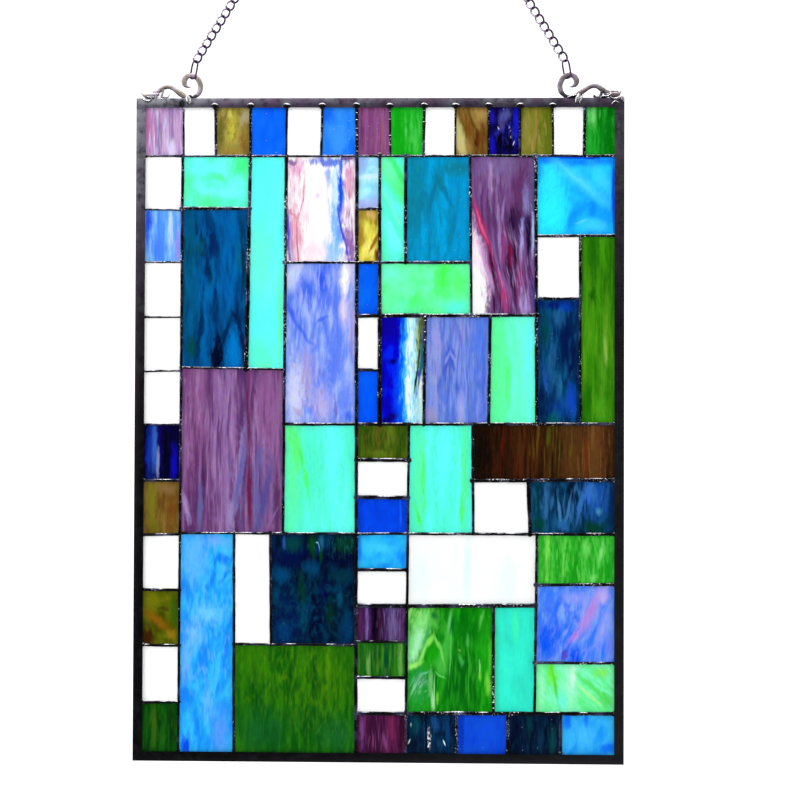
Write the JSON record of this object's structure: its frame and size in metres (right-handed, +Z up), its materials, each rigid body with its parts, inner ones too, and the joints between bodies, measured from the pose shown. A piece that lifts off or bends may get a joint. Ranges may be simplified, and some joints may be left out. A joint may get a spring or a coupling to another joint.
{
  "type": "stained glass window panel",
  "caption": "Stained glass window panel of rectangular streaky panes in a black came frame, hung by a chain from two scroll hooks.",
  "frame": {"origin": "top of the hanging ring's hole, where a nail or hook carries it", "axes": "+Z up, +X to the right seen from the front, the glass's front faces -Y"},
  "size_m": [0.457, 0.0086, 0.9455],
  "materials": {
    "pane_aqua_upper": "glossy streaky cathedral glass, lightly rippled",
    "pane_teal_flame": "glossy streaky cathedral glass, lightly rippled",
    "pane_cyan_tall": "glossy streaky cathedral glass, lightly rippled",
    "pane_pink_wisp": "glossy streaky cathedral glass, lightly rippled",
    "pane_periwinkle": "glossy streaky cathedral glass, lightly rippled",
    "pane_plum_big": "glossy streaky cathedral glass, lightly rippled",
    "pane_turquoise_low": "glossy streaky cathedral glass, lightly rippled",
    "pane_pale_blue": "glossy streaky cathedral glass, lightly rippled",
    "pane_amber": "glossy streaky cathedral glass, lightly rippled",
    "pane_mint_sweep": "glossy streaky cathedral glass, lightly rippled",
    "pane_lagoon": "glossy streaky cathedral glass, lightly rippled",
    "pane_violet_wisp": "glossy streaky cathedral glass, lightly rippled",
    "pane_sky_wide": "glossy streaky cathedral glass, lightly rippled",
    "pane_blue_small_1": "glossy streaky cathedral glass, lightly rippled",
    "pane_mint_wide": "glossy streaky cathedral glass, lightly rippled",
    "pane_white_small_1": "glossy white opal sheet glass, lightly rippled",
    "pane_blue_small_2": "glossy streaky cathedral glass, lightly rippled",
    "pane_navy_wisp": "glossy streaky cathedral glass, lightly rippled",
    "pane_violet_blue": "glossy streaky cathedral glass, lightly rippled",
    "pane_aqua_mid": "glossy streaky cathedral glass, lightly rippled",
    "pane_white_upper": "glossy white opal sheet glass, lightly rippled",
    "pane_green_tall": "glossy streaky cathedral glass, lightly rippled",
    "pane_teal_upper": "glossy streaky cathedral glass, lightly rippled",
    "pane_olive": "glossy streaky cathedral glass, lightly rippled",
    "pane_white_mid_1": "glossy white opal sheet glass, lightly rippled",
    "pane_blue_mid": "glossy streaky cathedral glass, lightly rippled",
    "pane_turquoise_tall": "glossy streaky cathedral glass, lightly rippled",
    "pane_brown": "glossy streaky cathedral glass, lightly rippled",
    "pane_white_square": "glossy white opal sheet glass, lightly rippled",
    "pane_teal_right": "glossy streaky cathedral glass, lightly rippled",
    "pane_sky_small": "glossy streaky cathedral glass, lightly rippled",
    "pane_white_mid_2": "glossy white opal sheet glass, lightly rippled",
    "pane_plum_dark": "glossy streaky cathedral glass, lightly rippled",
    "pane_green_small": "glossy streaky cathedral glass, lightly rippled",
    "pane_white_mid_3": "glossy white opal sheet glass, lightly rippled",
    "pane_plum_low": "glossy streaky cathedral glass, lightly rippled",
    "pane_blue_big": "glossy streaky cathedral glass, lightly rippled",
    "pane_white_tall": "glossy white opal sheet glass, lightly rippled",
    "pane_navy": "glossy streaky cathedral glass, lightly rippled",
    "pane_green_big": "glossy streaky cathedral glass, lightly rippled",
    "pane_opal": "glossy white opal sheet glass, lightly rippled",
    "pane_green_wisp": "glossy streaky cathedral glass, lightly rippled",
    "pane_jade_tall": "glossy streaky cathedral glass, lightly rippled",
    "pane_green_right": "glossy streaky cathedral glass, lightly rippled",
    "pane_blue_streak": "glossy streaky cathedral glass, lightly rippled",
    "pane_mint_right": "glossy streaky cathedral glass, lightly rippled",
    "pane_teal_low_1": "glossy streaky cathedral glass, lightly rippled",
    "pane_blue_low": "glossy streaky cathedral glass, lightly rippled",
    "pane_teal_low_2": "glossy streaky cathedral glass, lightly rippled",
    "pane_sky_low": "glossy streaky cathedral glass, lightly rippled",
    "top_row_tiles": "a row of small streaky glass tiles in many colours",
    "left_column_tiles": "a column of small streaky glass tiles in many colours",
    "solder_lattice": "raised solder beads with a black patina, bright where the patina is rubbed",
    "frame_came": "black-bronze patina on a metal channel",
    "hook_left": "antique pewter-bronze casting, dark in the hollows",
    "hook_right": "antique pewter-bronze casting, dark in the hollows",
    "chain_left": "dark purple-bronze plated wire links",
    "chain_right": "dark purple-bronze plated wire links",
    "hanging_ring": "dark bronze wire ring"
  },
  "bodies": {
    "root": {"pane_aqua_upper": "pane_aqua_upper", "pane_teal_flame": "pane_teal_flame", "pane_cyan_tall": "pane_cyan_tall", "pane_pink_wisp": "pane_pink_wisp", "pane_periwinkle": "pane_periwinkle", "pane_plum_big": "pane_plum_big", "pane_turquoise_low": "pane_turquoise_low", "pane_pale_blue": "pane_pale_blue", "pane_amber": "pane_amber", "pane_mint_sweep": "pane_mint_sweep", "pane_lagoon": "pane_lagoon", "pane_violet_wisp": "pane_violet_wisp", "pane_sky_wide": "pane_sky_wide", "pane_blue_small_1": "pane_blue_small_1", "pane_mint_wide": "pane_mint_wide", "pane_white_small_1": "pane_white_small_1", "pane_blue_small_2": "pane_blue_small_2", "pane_navy_wisp": "pane_navy_wisp", "pane_violet_blue": "pane_violet_blue", "pane_aqua_mid": "pane_aqua_mid", "pane_white_upper": "pane_white_upper", "pane_green_tall": "pane_green_tall", "pane_teal_upper": "pane_teal_upper", "pane_olive": "pane_olive", "pane_white_mid_1": "pane_white_mid_1", "pane_blue_mid": "pane_blue_mid", "pane_turquoise_tall": "pane_turquoise_tall", "pane_brown": "pane_brown", "pane_white_square": "pane_white_square", "pane_teal_right": "pane_teal_right", "pane_sky_small": "pane_sky_small", "pane_white_mid_2": "pane_white_mid_2", "pane_plum_dark": "pane_plum_dark", "pane_green_small": "pane_green_small", "pane_white_mid_3": "pane_white_mid_3", "pane_plum_low": "pane_plum_low", "pane_blue_big": "pane_blue_big", "pane_white_tall": "pane_white_tall", "pane_navy": "pane_navy", "pane_green_big": "pane_green_big", "pane_opal": "pane_opal", "pane_green_wisp": "pane_green_wisp", "pane_jade_tall": "pane_jade_tall", "pane_green_right": "pane_green_right", "pane_blue_streak": "pane_blue_streak", "pane_mint_right": "pane_mint_right", "pane_teal_low_1": "pane_teal_low_1", "pane_blue_low": "pane_blue_low", "pane_teal_low_2": "pane_teal_low_2", "pane_sky_low": "pane_sky_low", "top_row_tiles": "top_row_tiles", "left_column_tiles": "left_column_tiles", "solder_lattice": "solder_lattice", "frame_came": "frame_came", "hook_left": "hook_left", "hook_right": "hook_right", "chain_left": "chain_left", "chain_right": "chain_right", "hanging_ring": "hanging_ring"}
  },
  "joints": []
}
